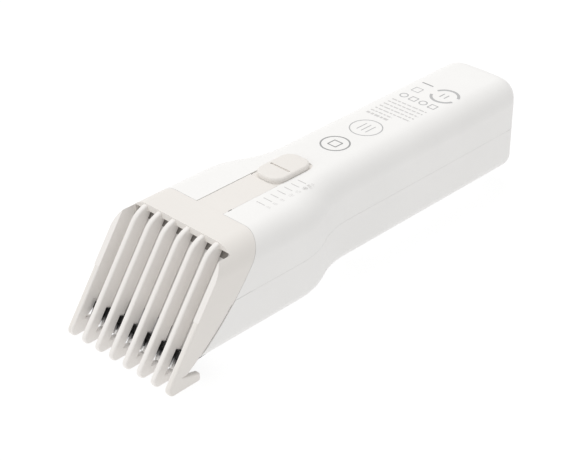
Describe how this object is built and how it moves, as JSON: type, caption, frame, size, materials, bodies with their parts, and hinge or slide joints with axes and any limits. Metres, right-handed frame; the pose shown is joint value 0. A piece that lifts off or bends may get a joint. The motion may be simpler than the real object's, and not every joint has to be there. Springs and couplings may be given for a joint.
{
  "type": "hair clipper",
  "caption": "Cordless hair clipper with a sliding guide comb on an angled cutter head, a thumb slider and a slim rounded handle.",
  "frame": {"origin": "on the surface that the clipper stands on, under the middle of its length and width", "axes": "+Z towards the thumb-slider face, -Y towards the comb, +Y towards the charging end, X across the width"},
  "size_m": [0.0462, 0.1736, 0.0399],
  "materials": {
    "shell_plastic": "fine satin moulding texture",
    "comb_plastic": "fine satin moulding texture",
    "cutter_plastic": "smooth moulded",
    "inner_plastic": "smooth moulded",
    "print_ink": "flat pad-printed ink",
    "clear_plastic": "clear polished",
    "blade_steel": "ground",
    "screw_steel": "plated",
    "spring_steel": "rolled",
    "ceramic_black": "lapped",
    "motor_steel": "plated",
    "magnet": "ground",
    "bronze": "sintered",
    "contact_brass": "stamped",
    "rotor_iron": "wound and lacquered",
    "cell_wrap": "shrink wrap",
    "foam": "closed-cell foam",
    "board": "solder mask",
    "chip_black": "moulded epoxy",
    "wire_cover": "insulation"
  },
  "bodies": {
    "body": {"top_shell": "shell_plastic", "bottom_shell": "shell_plastic", "cutter_housing": "shell_plastic", "light_guide": "clear_plastic", "scale_marks": "print_ink", "detent_strip": "spring_steel", "fixed_blade": "blade_steel", "blade_frame": "cutter_plastic", "blade_screws": "screw_steel", "blade_spring": "spring_steel", "motor_can": "motor_steel", "motor_magnets": "magnet", "motor_bush": "bronze", "motor_end_cap": "cutter_plastic", "motor_terminals": "contact_brass", "motor_bracket": "cutter_plastic", "bracket_screws": "screw_steel", "battery_cell": "cell_wrap", "battery_tabs": "contact_brass", "battery_pad": "foam", "battery_cradle": "inner_plastic", "main_board": "board", "board_posts": "inner_plastic", "board_screws": "screw_steel", "charge_chip": "chip_black", "driver_chip": "chip_black", "power_coil": "chip_black", "tact_switch": "chip_black", "button_dome": "spring_steel", "usb_socket": "spring_steel", "usb_tongue": "cutter_plastic", "status_led": "clear_plastic", "case_screws": "screw_steel", "motor_wires": "wire_cover", "battery_wires": "wire_cover"},
    "comb_unit": {"guide_comb": "comb_plastic", "slider_button": "comb_plastic", "slider_carriage": "inner_plastic", "carriage_screws": "screw_steel", "detent_spring": "spring_steel"},
    "cutter": {"moving_blade": "ceramic_black", "blade_carrier": "inner_plastic"},
    "rotor": {"motor_shaft": "motor_steel", "motor_rotor": "rotor_iron", "eccentric_cam": "inner_plastic"},
    "button": {"power_button": "comb_plastic"}
  },
  "joints": [
    {"name": "comb_slide", "type": "slide", "parent": "body", "child": "comb_unit", "axis": [0, -1, 0], "range_m": [0, 0.018]},
    {"name": "cutter_slide", "type": "slide", "parent": "body", "child": "cutter", "axis": [1, 0, 0], "range_m": [-0.001, 0.001], "stiffness_N_per_m": 120},
    {"name": "rotor_spin", "type": "hinge", "parent": "body", "child": "rotor", "pos_m": [0, -0.04225, 0.0164], "axis": [0, -1, 0], "continuous": true},
    {"name": "button_press", "type": "slide", "parent": "body", "child": "button", "axis": [0, 0, 1], "range_m": [0, 0.0004], "stiffness_N_per_m": 400}
  ]
}
